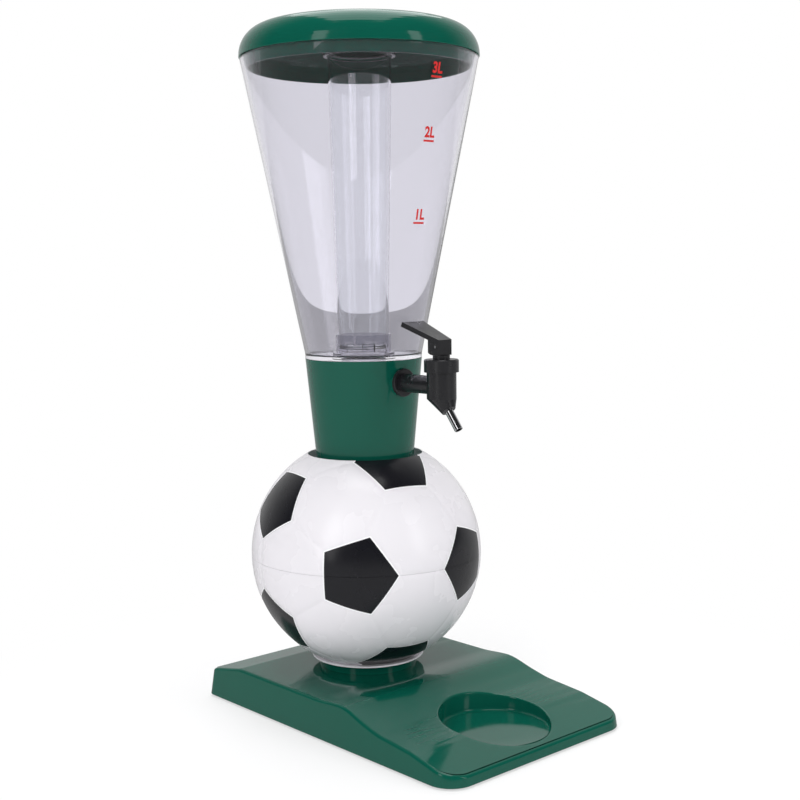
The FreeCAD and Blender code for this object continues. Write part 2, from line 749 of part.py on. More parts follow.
def valve_spring():
    """A compression spring round the stem, under a loose washer that bears on the bonnet."""
    low = size("valve_seat") + size("seat_gap") + size("seal_height") + size("shoulder_height")
    roof = size("bonnet_top") - size("bonnet_roof")
    washer_low = roof - size("seat_gap") - size("spring_washer")
    washer_hole = size("stem_radius") + 2 * size("stem_clearance")
    washer_radius = size("valve_chamber_radius") - 0.5
    washer_start = tap_point(0, washer_low)
    shaped("spring_washer", ring(washer_radius, washer_hole, washer_start, UP, size("spring_washer")))
    wire = size("spring_wire")
    climb = washer_low - low - 2 * wire - 0.1
    path = coil_path(tap_point(0, low + wire + 0.05), size("spring_radius"), climb, size("spring_turns"))
    first = path.Edges[0]
    start = first.valueAt(first.FirstParameter)
    along = first.tangentAt(first.FirstParameter)
    section = Part.Wire(Part.makeCircle(wire, start, along))
    shaped("valve_spring", path.makePipeShell([section], True, False).Solids[0])


def coil_path(centre, radius, climb, turns):
    """A rising coil about Z as a chain of tangent arcs, two to each quarter of a turn."""
    steps = round(turns * 4)
    lift = climb / (turns * 2 * math.pi)
    edges = []
    for step in range(steps):
        ends = []
        for number in (step, step + 1):
            angle = number * turns * 2 * math.pi / steps
            out = V(math.cos(angle), math.sin(angle), 0)
            tangent = V(-radius * math.sin(angle), radius * math.cos(angle), lift).normalize()
            ends.append((centre + out * radius + UP * (lift * angle), tangent))
        edges.extend(biarc(*ends[0], *ends[1]))
    return Part.Wire(edges)


def biarc(start, start_tangent, end, end_tangent):
    """Two arcs that join two points with a tangent at each."""
    span = end - start
    both = start_tangent + end_tangent
    spread = 1 - start_tangent.dot(end_tangent)
    root = math.sqrt(span.dot(both) ** 2 + 2 * spread * span.dot(span))
    reach = (root - span.dot(both)) / (2 * spread)
    first_corner = start + start_tangent * reach
    second_corner = end - end_tangent * reach
    joint = (first_corner + second_corner) * 0.5
    return [arc_by_corner(start, first_corner, joint), arc_by_corner(joint, second_corner, end)]


def arc_by_corner(start, corner, end):
    """The arc between two points whose end tangents meet at a corner."""
    middle = (start + end) * 0.5
    half_chord = (end - start).Length / 2
    rise = (corner - middle).Length
    half_angle = math.atan2(rise, half_chord) / 2
    top = middle + (corner - middle).normalize() * (half_chord * math.tan(half_angle))
    return Part.Arc(start, top, end).toShape()


def cam_curve(start_angle, end_angle):
    """The cam's outline about its pin. Its reach straight down grows evenly as the lever turns,
    so that the stem lifts by the same amount for every degree of the lever's travel."""
    base_reach = size("pin_height") - size("bonnet_boss_top") - size("cam_clearance")
    growth = size("lever_ratio")
    points = []
    for step in range(7):
        angle = start_angle + (end_angle - start_angle) * step / 6
        reach = base_reach + growth * angle
        y = reach * math.sin(angle) + growth * math.cos(angle)
        z = growth * math.sin(angle) - reach * math.cos(angle)
        points.append(V(0, y, z))
    return points


def lever():
    """The lever: a slotted block with a cam under it, and a flared paddle that rises to the back."""
    travel = math.radians(size("lever_travel"))
    cam = cam_curve(0, travel)
    pin = tap_point(0, size("pin_height"))
    front = -size("lever_front")
    low = cam[0].z
    back = cam[-1].y
    top = size("lever_top")
    rise = (size("lever_tip_rise") - top) / (size("lever_tip_reach") - front)
    tilt = math.atan(rise)
    thick = size("lever_thickness")
    back_top = top + (back - front) * rise - thick / math.cos(tilt) / 2
    curve = Part.BSplineCurve()
    curve.interpolate(Points=cam, InitialTangent=BACK, FinalTangent=V(0, math.cos(travel), math.sin(travel)))
    corners = [cam[-1], V(0, back, back_top), V(0, front, top), V(0, front, low), cam[0]]
    outline = [Part.makeLine(first, second) for first, second in zip(corners, corners[1:])]
    outline.append(curve.toShape())
    half = size("lever_half_width")
    block = Part.Face(Part.Wire(outline)).extrude(SIDE * 2 * half)
    block.translate(-SIDE * half)
    tip = V(0, size("lever_tip_reach"), size("lever_tip_rise"))
    normal = V(0, math.sin(tilt), -math.cos(tilt))
    start = V(0, front, top)
    side = [start, tip, tip + normal * thick, start + normal * thick, start]
    half_tip = size("lever_tip_half_width")
    plate = Part.Face(Part.makePolygon(side)).extrude(SIDE * 2 * half_tip)
    plate.translate(-SIDE * half_tip)
    reach = size("lever_tip_reach") + thick
    plan = [V(-half, front, 0), V(half, front, 0), V(half_tip, reach, 0), V(-half_tip, reach, 0), V(-half, front, 0)]
    fan = Part.Face(Part.makePolygon(plan)).extrude(UP * (size("lever_tip_rise") + 2 * thick))
    fan.translate(-UP * thick)
    plate = plate.common(fan)
    plate = plate.cut(Part.makeBox(40, back - front, 40, V(-20, front, low - 40)))
    shape = block.fuse(plate).removeSplitter()
    shape = shape.cut(lever_slot(travel))
    shape.translate(pin)
    hole = cylinder(size("pin_radius") + size("pin_clearance"), pin - SIDE * half, SIDE, 2 * half)
    shaped("lever", shape.cut(hole))


def lever_slot(travel):
    """Room for the stem's eye over the lever's whole travel."""
    slack = size("slot_clearance")
    half = size("stem_flat") + slack
    reach = size("stem_tongue") + 2 * slack
    across = V(0, math.cos(travel), math.sin(travel))
    along = V(0, math.sin(travel), -math.cos(travel))
    deep = 4 * size("stem_tongue")
    edge = across * reach
    corner = edge + along * deep
    polygon = [
        V(0, -reach, -deep),
        V(0, -reach, 0),
        V(0, 0, 0),
        edge,
        corner,
        V(0, corner.y, -deep),
        V(0, -reach, -deep),
    ]
    slot = Part.Face(Part.makePolygon(polygon)).extrude(SIDE * 2 * half)
    slot = slot.fuse(cylinder(reach, V(0, 0, 0), SIDE, 2 * half))
    slot.translate(-SIDE * half)
    return slot


def reservoir():
    """The clear tapered vessel, with a flange on the collar and a neck that plugs into it."""
    taper = "(reservoir_rim_radius - collar_top_radius) / (reservoir_height - reservoir_floor)"
    inside = f"(collar_top_radius - reservoir_wall)"
    neck_low = "0"
    base = "neck_depth"
    floor = "(neck_depth + reservoir_floor)"
    groove_low = "(neck_depth * 0.4 - gasket_section)"
    groove_high = "(neck_depth * 0.4 + gasket_section)"
    outline = [
        ("neck_radius", neck_low),
        ("neck_radius", groove_low),
        ("neck_radius - gasket_groove", groove_low),
        ("neck_radius - gasket_groove", groove_high),
        ("neck_radius", groove_high),
        ("neck_radius", base),
        ("collar_top_radius", base),
        ("collar_top_radius", floor),
        ("reservoir_rim_radius", "neck_depth + reservoir_height"),
        ("reservoir_rim_radius - reservoir_wall", "neck_depth + reservoir_height"),
        (inside, floor),
        ("drain_radius", floor),
        ("drain_radius", base),
        ("neck_radius - neck_wall", base),
        ("neck_radius - neck_wall", neck_low),
    ]
    vessel = turned("reservoir", outline, ("0", "tower_y", "reservoir_base - neck_depth"))
    keep("reservoir", vessel)
    section = size("gasket_section")
    centre = V(0, size("tower_y"), size("reservoir_base") - size("neck_depth") * 0.6)
    ring_radius = size("neck_radius") - size("gasket_groove") + section
    shaped("reservoir_gasket", Part.makeTorus(ring_radius, section, centre, UP))


def tube_socket():
    """The windowed ring on the reservoir's floor that steadies the ice tube's foot."""
    floor = size("reservoir_base") + size("reservoir_floor")
    foot = V(0, size("tower_y"), floor)
    outer = size("socket_ring_radius")
    inner = outer - size("socket_ring_wall")
    body = ring(outer, inner, foot, UP, size("socket_ring_height"))
    sole = ring(outer + 3, size("drain_radius"), foot, UP, size("socket_ring_wall"))
    body = body.fuse(sole)
    windows = []
    for index in range(6):
        window = Part.makeBox(outer + 2, size("window_width"), size("window_height"))
        window.translate(V(0, -size("window_width") / 2, size("window_sill")))
        window.rotate(V(0, 0, 0), UP, 60 * index + 30)
        window.translate(foot)
        windows.append(window)
    shaped("tube_socket", body.cut(windows))


def lid():
    """The domed lid: rim, inner skirt that centres it in the vessel, and hub for the ice tube."""
    lean = "(reservoir_rim_radius - collar_top_radius) / (reservoir_height - reservoir_floor)"
    skirt_top = "(reservoir_rim_radius - reservoir_wall - skirt_clearance)"
    skirt_low = f"(reservoir_rim_radius - reservoir_wall - skirt_clearance - skirt_depth * {lean})"
    outline = [
        ("0", "skirt_depth + lid_height"),
        ("lid_radius", "skirt_depth + lid_height"),
        ("lid_radius", "skirt_depth"),
        (skirt_top, "skirt_depth"),
        (skirt_low, "0"),
        (f"{skirt_low} - skirt_wall", "0"),
        ("lid_inner_radius", "skirt_depth"),
        ("lid_inner_radius", "skirt_depth + lid_height - lid_wall"),
        ("hub_radius", "skirt_depth + lid_height - lid_wall"),
        ("hub_radius", "skirt_depth + lid_height - lid_wall - hub_height"),
        ("hub_radius - hub_wall", "skirt_depth + lid_height - lid_wall - hub_height"),
        ("hub_radius - hub_wall", "skirt_depth + lid_height - lid_wall"),
        ("0", "skirt_depth + lid_height - lid_wall"),
    ]
    body = turned("lid", outline, ("0", "tower_y", "lid_base - skirt_depth"))
    top = size("skirt_depth") + size("lid_height")
    rounded(body, "lid_shoulder", [(size("lid_radius"), top)])
    rounded(body, "lid_inner_shoulder", [(size("lid_inner_radius"), top - size("lid_wall"))])
    keep("lid", body)


def ice_tube():
    """The tapered tube for ice: a closed foot, a flange under the lid's hub and a thread in it."""
    hub_low = size("lid_base") + size("lid_height") - size("lid_wall") - size("hub_height")
    seal_low = hub_low - size("seat_gap") - size("tube_seal_height")
    flange_low = seal_low - size("tube_flange")
    foot_z = size("reservoir_base") + size("reservoir_floor") + size("tube_foot_lift")
    foot = V(0, size("tower_y"), foot_z)
    height = flange_low - foot_z
    wall = size("tube_wall")
    top = size("tube_top_radius")
    low = size("tube_foot_radius")
    thread_radius = size("hub_radius") - size("hub_wall") - size("thread_clearance")
    thread_height = seal_low - flange_low + size("tube_thread_height")
    outer = cone_between(low, top, foot, height)
    collar_ring = cylinder(size("hub_radius"), foot + UP * height, UP, size("tube_flange"))
    thread = cylinder(thread_radius, foot + UP * height, UP, thread_height)
    inner = cone_between(low - wall, top - wall, foot + UP * wall, height - wall)
    mouth = cylinder(top - wall, foot + UP * height, UP, thread_height)
    shaped("ice_tube", outer.fuse([collar_ring, thread]).cut(inner.fuse(mouth)).removeSplitter())
    seal_start = V(0, size("tower_y"), seal_low)
    shaped("ice_tube_seal", ring(size("hub_radius"), thread_radius, seal_start, UP, size("tube_seal_height")))


def base_screws():
    deck_under = size("deck_height") - size("base_wall") - size("screw_head_height") * 1.5
    screws = pan_screws(
        corners_of(size("base_screw_offset"), size("tower_y"), deck_under),
        size("base_screw_radius"),
        size("base_screw_length"),
        size("screw_head_radius"),
        size("screw_head_height"),
    )
    shaped("base_screws", screws)


shaped("base_shell", base_shell())
shaped("rubber_feet", rubber_feet())
base_screws()
shaped("ball_lower_shell", ball_shell(False))
shaped("ball_upper_shell", ball_shell(True))
collar()
collar_screws()
tap_washers_and_nut()
tap_body()
spout_tube()
tap_bonnet()
valve_stem()
valve_spring()
lever()
reservoir()
tube_socket()
lid()
ice_tube()
doc.recompute()

for item in doc.Objects:
    if "Invalid" in item.State or "Error" in item.State:
        raise RuntimeError(f"{item.Label} failed: {item.State}")
for label, feature in nodes.items():
    if feature.Shape.isNull() or not feature.Shape.isValid():
        raise RuntimeError(f"{label} has no valid shape")

os.makedirs("parts", exist_ok=True)
for label, feature in nodes.items():
    feature.Shape.exportStep(f"parts/{label}.step")
    box = feature.Shape.BoundBox
    corners = [round(value, 2) for value in (box.XMin, box.YMin, box.ZMin, box.XMax, box.YMax, box.ZMax)]
    print(label, len(feature.Shape.Solids), "solids", round(feature.Shape.Volume), "mm3", corners)
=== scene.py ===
import math
import bmesh
import bpy
from mathutils import Matrix, Vector

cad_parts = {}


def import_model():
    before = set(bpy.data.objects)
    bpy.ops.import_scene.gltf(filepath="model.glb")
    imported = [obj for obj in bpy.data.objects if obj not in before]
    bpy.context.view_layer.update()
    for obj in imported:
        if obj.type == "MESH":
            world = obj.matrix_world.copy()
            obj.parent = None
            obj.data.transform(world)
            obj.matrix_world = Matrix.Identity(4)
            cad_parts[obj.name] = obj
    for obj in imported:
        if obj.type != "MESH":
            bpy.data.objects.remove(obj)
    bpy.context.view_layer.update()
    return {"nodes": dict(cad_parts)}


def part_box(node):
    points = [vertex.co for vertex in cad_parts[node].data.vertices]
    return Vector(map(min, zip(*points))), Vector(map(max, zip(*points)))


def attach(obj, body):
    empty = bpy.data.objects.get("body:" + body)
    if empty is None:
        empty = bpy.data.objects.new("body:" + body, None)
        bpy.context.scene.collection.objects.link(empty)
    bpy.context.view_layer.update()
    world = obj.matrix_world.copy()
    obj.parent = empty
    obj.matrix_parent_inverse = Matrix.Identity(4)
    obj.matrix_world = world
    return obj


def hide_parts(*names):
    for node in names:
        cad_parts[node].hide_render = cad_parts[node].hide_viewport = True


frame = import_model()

MM = 0.001
UP = Vector((0, 0, 1))

# Places and sizes, in millimetres


def mm_box(node):
    low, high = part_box(node)
    return low / MM, high / MM


collar_low, collar_high = mm_box("collar")
vessel_low, vessel_high = mm_box("reservoir")
lid_low, lid_high = mm_box("lid")
tube_low, tube_high = mm_box("ice_tube")
ball_low = mm_box("ball_lower_shell")[0]
mouth_low, mouth_high = mm_box("ball_upper_shell")
TOWER_Y = (collar_low.y + collar_high.y) / 2

BALL_RADIUS = 97.0
BALL_CENTRE_Z = mouth_low.z
BALL_MOUTH = 48.3
SOCKET_DEPTH = 14.0
SOCKET_FLOOR = 2.4
SOCKET_HOLE = 24.0

NECK_RADIUS = 43.6
NECK_DEPTH = 6.2
NECK_WALL = 3.0
GROOVE_START = 1.38
GROOVE_HEIGHT = 2.2
GROOVE_DEPTH = 0.6
VESSEL_FOOT = 48.7
VESSEL_RIM = 97.6
VESSEL_WALL = 3.0
VESSEL_FLOOR = 3.4
DRAIN_RADIUS = 19.0

LID_RADIUS = 98.2
LID_HEIGHT = 25.6
LID_SHOULDER = 24.2
LID_INNER_SHOULDER = 20.0
LID_WALL = 2.8
LID_INNER_RADIUS = 91.4
SKIRT_DEPTH = 8.6
SKIRT_RADIUS = 94.1
SKIRT_TAPER = 1.74
SKIRT_WALL = 2.2
HUB_RADIUS = 30.0
HUB_WALL = 2.8
HUB_HEIGHT = 18.0
SEAT_GAP = 0.1
TUBE_SEAL = 0.9

TUBE_FOOT = 20.8
TUBE_TOP = 26.3
TUBE_WALL = 1.8
TUBE_FLANGE = 2.4
TUBE_THREAD = 27.0


# Materials


def principled(name, colour, roughness, **inputs):
    """A node material with a Principled shader whose plain values sit on its own sockets."""
    material = bpy.data.materials.new(name)
    material.use_nodes = True
    shader = material.node_tree.nodes["Principled BSDF"]
    shader.inputs["Base Color"].default_value = (*colour, 1.0)
    shader.inputs["Roughness"].default_value = roughness
    for key, value in inputs.items():
        shader.inputs[key.replace("_", " ")].default_value = value
    return material, shader


def link(tree, source, target):
    tree.links.new(source, target)


def noise(tree, scale, detail=3.0):
    coordinates = tree.nodes.new("ShaderNodeTexCoord")
    texture = tree.nodes.new("ShaderNodeTexNoise")
    texture.inputs["Scale"].default_value = scale
    texture.inputs["Detail"].default_value = detail
    link(tree, coordinates.outputs["Object"], texture.inputs["Vector"])
    return texture


def vary_roughness(tree, shader, scale, low, high):
    """Faint handling marks: the roughness wanders between two values."""
    texture = noise(tree, scale)
    spread = tree.nodes.new("ShaderNodeMapRange")
    spread.inputs["From Min"].default_value = 0.3
    spread.inputs["From Max"].default_value = 0.7
    spread.inputs["To Min"].default_value = low
    spread.inputs["To Max"].default_value = high
    link(tree, texture.outputs["Fac"], spread.inputs["Value"])
    link(tree, spread.outputs["Result"], shader.inputs["Roughness"])


def vary_colour(tree, shader, scale, first, second):
    texture = noise(tree, scale, 2.0)
    mix = tree.nodes.new("ShaderNodeMix")
    mix.data_type = "RGBA"
    mix.inputs["A"].default_value = (*first, 1.0)
    mix.inputs["B"].default_value = (*second, 1.0)
    link(tree, texture.outputs["Fac"], mix.inputs["Factor"])
    link(tree, mix.outputs["Result"], shader.inputs["Base Color"])


def surface_bump(tree, shader, scale, strength, distance):
    texture = noise(tree, scale, 4.0)
    bump = tree.nodes.new("ShaderNodeBump")
    bump.inputs["Strength"].default_value = strength
    bump.inputs["Distance"].default_value = distance
    link(tree, texture.outputs["Fac"], bump.inputs["Height"])
    link(tree, bump.outputs["Normal"], shader.inputs["Normal"])


def green_plastic():
    material, shader = principled("green_gloss_plastic", (0.002, 0.085, 0.057), 0.1)
    tree = material.node_tree
    vary_colour(tree, shader, 9.0, (0.002, 0.080, 0.053), (0.003, 0.092, 0.061))
    vary_roughness(tree, shader, 35.0, 0.06, 0.13)
    surface_bump(tree, shader, 120.0, 0.03, 0.0002)
    return material


def ball_white():
    material, shader = principled("ball_white_plastic", (0.80, 0.78, 0.81), 0.24, Coat_Weight=0.25)
    shader.inputs["Coat Roughness"].default_value = 0.12
    tree = material.node_tree
    vary_colour(tree, shader, 6.0, (0.80, 0.78, 0.82), (0.84, 0.82, 0.84))
    vary_roughness(tree, shader, 30.0, 0.2, 0.32)
    surface_bump(tree, shader, 220.0, 0.05, 0.0002)
    return material


# The light border round each black pentagon: the ball's own white there, made lighter than the panels
# as a painted highlight along the edge fillet.
def ball_edge_painted_highlight():
    material, shader = principled("ball_edge_white_painted_highlight", (0.93, 0.93, 0.94), 0.3)
    vary_roughness(material.node_tree, shader, 60.0, 0.25, 0.4)
    return material


def ball_black():
    material, shader = principled("ball_black_paint", (0.008, 0.008, 0.011), 0.25)
    tree = material.node_tree
    vary_roughness(tree, shader, 25.0, 0.16, 0.3)
    surface_bump(tree, shader, 240.0, 0.05, 0.0002)
    return material


def clear_plastic(name, tint):
    material, shader = principled(name, tint, 0.0, IOR=1.40)
    shader.inputs["Transmission Weight"].default_value = 1.0
    surface_bump(material.node_tree, shader, 14.0, 0.03, 0.0006)
    return material


def tap_black():
    material, shader = principled("tap_black_plastic", (0.012, 0.012, 0.014), 0.3, Coat_Weight=0.15)
    tree = material.node_tree
    vary_roughness(tree, shader, 90.0, 0.24, 0.38)
    surface_bump(tree, shader, 700.0, 0.08, 0.0001)
    return material


def black_rubber():
    material, shader = principled("black_rubber", (0.014, 0.014, 0.014), 0.7)
    tree = material.node_tree
    vary_roughness(tree, shader, 120.0, 0.6, 0.8)
    surface_bump(tree, shader, 900.0, 0.2, 0.0001)
    return material


def silicone():
    material, shader = principled("silicone", (0.75, 0.76, 0.78), 0.45)
    shader.inputs["Transmission Weight"].default_value = 0.3
    vary_roughness(material.node_tree, shader, 90.0, 0.4, 0.55)
    return material


def polished_steel():
    material, shader = principled("spout_steel", (0.80, 0.80, 0.82), 0.1, Metallic=1.0)
    vary_roughness(material.node_tree, shader, 150.0, 0.06, 0.16)
    return material


def drawn_steel(name, colour, roughness):
    material, shader = principled(name, colour, roughness, Metallic=1.0)
    tree = material.node_tree
    vary_roughness(tree, shader, 200.0, roughness * 0.8, roughness * 1.3)
    surface_bump(tree, shader, 1500.0, 0.1, 0.00005)
    return material


def red_ink():
    material, shader = principled("mark_red_ink", (0.62, 0.012, 0.010), 0.45)
    vary_roughness(material.node_tree, shader, 300.0, 0.4, 0.55)
    return material


GREEN = green_plastic()
WHITE = ball_white()
EDGE_WHITE_HIGHLIGHT = ball_edge_painted_highlight()
BLACK = ball_black()
CLEAR = clear_plastic("vessel_clear_plastic", (0.84, 0.832, 0.88))
TUBE_CLEAR = clear_plastic("tube_clear_plastic", (0.945, 0.952, 0.962))
TAP = tap_black()
RUBBER = black_rubber()
SILICONE = silicone()
STEEL = polished_steel()
SCREW = drawn_steel("screw_steel", (0.62, 0.62, 0.64), 0.3)
SPRING = drawn_steel("spring_steel", (0.5, 0.5, 0.52), 0.25)
RED = red_ink()

NODE_MATERIALS = {
    "base_shell": GREEN,
    "rubber_feet": RUBBER,
    "base_screws": SCREW,
    "collar": GREEN,
    "collar_screws": SCREW,
    "tap_outer_washer": RUBBER,
    "tap_inner_washer": RUBBER,
    "tap_nut": TAP,
    "tap_body": TAP,
    "spout_tube": STEEL,
    "tap_bonnet": TAP,
    "bonnet_seal": RUBBER,
    "valve_stem": TAP,
    "valve_seal": SILICONE,
    "lever_pin": SCREW,
    "spring_washer": SCREW,
    "valve_spring": SPRING,
    "lever": TAP,
    "reservoir": CLEAR,
    "reservoir_gasket": SILICONE,
    "tube_socket": CLEAR,
    "lid": GREEN,
    "ice_tube": TUBE_CLEAR,
    "ice_tube_seal": SILICONE,
    "ball_lower_shell": WHITE,
    "ball_upper_shell": WHITE,
}
for node, material in NODE_MATERIALS.items():
    mesh = frame["nodes"][node].data
    mesh.materials.clear()
    mesh.materials.append(material)


# Shared makers

SUPPORT = 0.4


def add_mesh(name, mesh, materials, body, slot, *replaced):
    piece = bpy.data.objects.new(name, mesh)
    bpy.context.scene.collection.objects.link(piece)
    for material in materials:
        mesh.materials.append(material)
    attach(piece, body)
    if replaced:
        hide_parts(*replaced)
    return piece


def smooth_by_angle(mesh, degrees):
    for polygon in mesh.polygons:
        polygon.use_smooth = True
    mesh.set_sharp_from_angle(angle=math.radians(degrees))


def rounded_outline(corners, steps=5):
    """A closed outline of (radius, height, fillet) corners, with each fillet as an arc."""
    points = []
    count = len(corners)
    for index, (radius, height, fillet) in enumerate(corners):
        corner = Vector((radius, height))
        if fillet <= 0:
            points.append(corner)
            continue
        before = Vector(corners[index - 1][:2]) - corner
        after = Vector(corners[(index + 1) % count][:2]) - corner
        half = before.angle(after) / 2
        cut = min(fillet / math.tan(half), before.length * 0.97, after.length * 0.97)
        real = cut * math.tan(half)
        inward = (before.normalized() + after.normalized()).normalized()
        middle = corner + inward * (real / math.sin(half))
        first = corner + before.normalized() * cut - middle
        last = corner + after.normalized() * cut - middle
        turn = first.angle_signed(last)
        for step in range(steps + 1):
            angle = turn * step / steps
            rotated = Matrix.Rotation(-angle, 2) @ first
            points.append(middle + rotated)
    return with_supports(points)


def with_supports(points):
    """Adds a point near each end of a long straight run, so that shading stays flat along it."""
    supported = []
    for index, point in enumerate(points):
        following = points[(index + 1) % len(points)]
        supported.append(point)
        run = (following - point).length
        if run < 3 * SUPPORT:
            continue
        for share in (SUPPORT / run, 1 - SUPPORT / run):
            extra = point.lerp(following, share)
            if extra.x > 1:
                supported.append(extra)
    return supported


def lathe(name, corners, body, slot, material, *replaced, centre_y=TOWER_Y, segments=160, steps=5):
    """A closed outline turned about a vertical axis, in millimetres."""
    outline = rounded_outline(corners, steps)
    bm = bmesh.new()
    rings = []
    for radius, height in outline:
        if radius < 1e-6:
            rings.append([bm.verts.new((0, centre_y * MM, height * MM))] * segments)
            continue
        ring = []
        for index in range(segments):
            angle = 2 * math.pi * index / segments
            x = radius * math.sin(angle)
            y = centre_y - radius * math.cos(angle)
            ring.append(bm.verts.new((x * MM, y * MM, height * MM)))
        rings.append(ring)
    for number, ring in enumerate(rings):
        following = rings[(number + 1) % len(rings)]
        for index in range(segments):
            other = (index + 1) % segments
            corner = [ring[index], ring[other], following[other], following[index]]
            corner = list(dict.fromkeys(corner))
            if len(corner) > 2:
                bm.faces.new(corner)
    bmesh.ops.recalc_face_normals(bm, faces=bm.faces)
    mesh = bpy.data.meshes.new(name)
    bm.to_mesh(mesh)
    bm.free()
    smooth_by_angle(mesh, 40)
    return add_mesh(name, mesh, [material], body, slot, *replaced)


# Football


def ball_axes():
    """The three axes of the panel pattern: one panel faces the seam at the front left."""
    turn = math.radians(-13.28)
    first = Vector((math.sin(turn), -math.cos(turn), 0))
    second = Vector((math.cos(turn), math.sin(turn), 0))
    return first, second, UP


def pentagon_centres():
    golden = (1 + math.sqrt(5)) / 2
    axes = ball_axes()
    centres = []
    for index in range(3):
        for sign_long in (-1, 1):
            for sign_short in (-1, 1):
                centre = axes[index] * golden * sign_long + axes[(index + 1) % 3] * sign_short
                centres.append(centre.normalized())
    return centres


def around(centre, points):
    """The points in order of their angle about a centre direction."""
    start = (points[0] - centre * points[0].dot(centre)).normalized()
    side = centre.cross(start)
    return sorted(points, key=lambda point: math.atan2(point.dot(side), point.dot(start)))


def ball_panels():
    """Pentagons and hexagons of the ball as (centre, corners, is_black) on the unit sphere."""
    centres = pentagon_centres()
    close = 1.2
    panels = []
    for centre in centres:
        near = [other for other in centres if 0.1 < (other - centre).length < close]
        corners = [((centre * 2 + other) / 3).normalized() for other in near]
        panels.append((centre, around(centre, corners), True))
    for first in range(12):
        for second in range(first + 1, 12):
            for third in range(second + 1, 12):
                trio = [centres[first], centres[second], centres[third]]
                spans = [(trio[i] - trio[i - 1]).length for i in range(3)]
                if max(spans) > close:
                    continue
                middle = sum(trio, Vector()).normalized()
                corners = []
                for one in trio:
                    for other in trio:
                        if one is not other:
                            corners.append(((one * 2 + other) / 3).normalized())
                panels.append((middle, around(middle, corners), False))
    return panels


# Width of the pentagon's light border, white with a painted highlight, before the black paint begins.
EDGE_HIGHLIGHT_WIDTH = 1.1
SEAM_DEPTH = 0.38
SEAM_WIDTH = 2.4
PENTAGON_LEVELS = (0, 0.35, 0.75, EDGE_HIGHLIGHT_WIDTH, 1.35, 2.0, 4.0, 8.0, 14.0, 21.0)
HEXAGON_LEVELS = (0, 0.4, 0.9, 1.5, 2.2, 3.2, 5.0, 8.0, 13.0, 20.0, 28.0)
SIDE_STEPS = 14


def panel_sink(distance, is_black):
    """How far the surface sinks below the sphere at a distance from the panel's edge."""
    valley = SEAM_DEPTH * math.exp(-((distance / SEAM_WIDTH) ** 2))
    if not is_black:
        return valley
    step = min(max((distance - EDGE_HIGHLIGHT_WIDTH) / 0.25, 0.0), 1.0)
    return 0.12 + valley * 0.35 + 0.16 * step


def add_panel(bm, centre, corners, is_black, origin):
    """One panel as rings of quads from its edge to its middle."""
    levels = PENTAGON_LEVELS if is_black else HEXAGON_LEVELS
    count = len(corners)
    inner = math.asin(centre.dot((corners[0] + corners[1]).normalized()))
    inradius = BALL_RADIUS * (math.pi / 2 - inner)
    rings = []
    for level in levels:
        ring = []
        for index in range(count):
            first = corners[index]
            second = corners[(index + 1) % count]
            for step in range(SIDE_STEPS):
                edge = first.lerp(second, step / SIDE_STEPS).normalized()
                point = edge.lerp(centre, level / inradius).normalized()
                radius = BALL_RADIUS - panel_sink(level, is_black)
                ring.append(bm.verts.new((origin + point * radius) * MM))
        rings.append(ring)
    middle = bm.verts.new((origin + centre * (BALL_RADIUS - panel_sink(inradius, is_black))) * MM)
    for number in range(len(rings)):
        ring = rings[number]
        total = len(ring)
        for index in range(total):
            other = (index + 1) % total
            if number + 1 < len(rings):
                following = rings[number + 1]
                face = bm.faces.new((ring[index], ring[other], following[other], following[index]))
            else:
                face = bm.faces.new((ring[index], ring[other], middle))
            # Faces of a pentagon nearer its edge than the border width take the lighter white with its
            # painted highlight; the rest take the black paint.
            painted = is_black and levels[number] >= EDGE_HIGHLIGHT_WIDTH
            face.material_index = 2 if painted else (1 if is_black else 0)
            face.smooth = True


def cut_away(bm, height, keep_above):
    """Cuts the mesh at a height and keeps one side of it."""
    geometry = bm.verts[:] + bm.edges[:] + bm.faces[:]
    bmesh.ops.bisect_plane(
        bm,
        geom=geometry,
        plane_co=(0, 0, height * MM),
        plane_no=(0, 0, 1),
        clear_inner=keep_above,
        clear_outer=not keep_above,
    )


def boundary_at(bm, height):
    edges = []
    for edge in bm.edges:
        if edge.is_boundary and all(abs(vert.co.z - height * MM) < 1e-6 for vert in edge.verts):
            edges.append(edge)
    return edges


def turn_in(bm, height, towards, depth):
    """Folds an open rim inward as a short wall, so that the shell shows its thickness."""
    extruded = bmesh.ops.extrude_edge_only(bm, edges=boundary_at(bm, height))
    middle = Vector((0, TOWER_Y * MM, height * MM))
    for item in extruded["geom"]:
        if isinstance(item, bmesh.types.BMVert):
            inward = middle - item.co
            inward.z = 0
            item.co += inward.normalized() * depth * MM
            item.co.z += towards * MM


def ball_half(name, node, upper):
    origin = Vector((0, TOWER_Y, BALL_CENTRE_Z))
    bm = bmesh.new()
    for centre, corners, is_black in ball_panels():
        add_panel(bm, centre, corners, is_black, origin)
    bmesh.ops.remove_doubles(bm, verts=bm.verts[:], dist=0.02 * MM)
    bmesh.ops.recalc_face_normals(bm, faces=bm.faces)
    seam = BALL_CENTRE_Z + (0.1 if upper else -0.1)
    cut_away(bm, seam, upper)
    if upper:
        cut_away(bm, mouth_high.z, False)
        turn_in(bm, seam, 0.0, 1.6)
        turn_in(bm, mouth_high.z, -0.5, 0.35)
    else:
        cut_away(bm, ball_low.z, True)
        turn_in(bm, seam, 0.0, 1.6)
        turn_in(bm, ball_low.z, 0.0, 8.0)
    mesh = bpy.data.meshes.new(name)
    bm.to_mesh(mesh)
    bm.free()
    mesh.set_sharp_from_angle(angle=math.radians(50))
    # The second material is the pentagons' lighter edge white, a painted highlight.
    return add_mesh(name, mesh, [WHITE, EDGE_WHITE_HIGHLIGHT, BLACK], "stand", "ball_white", node)


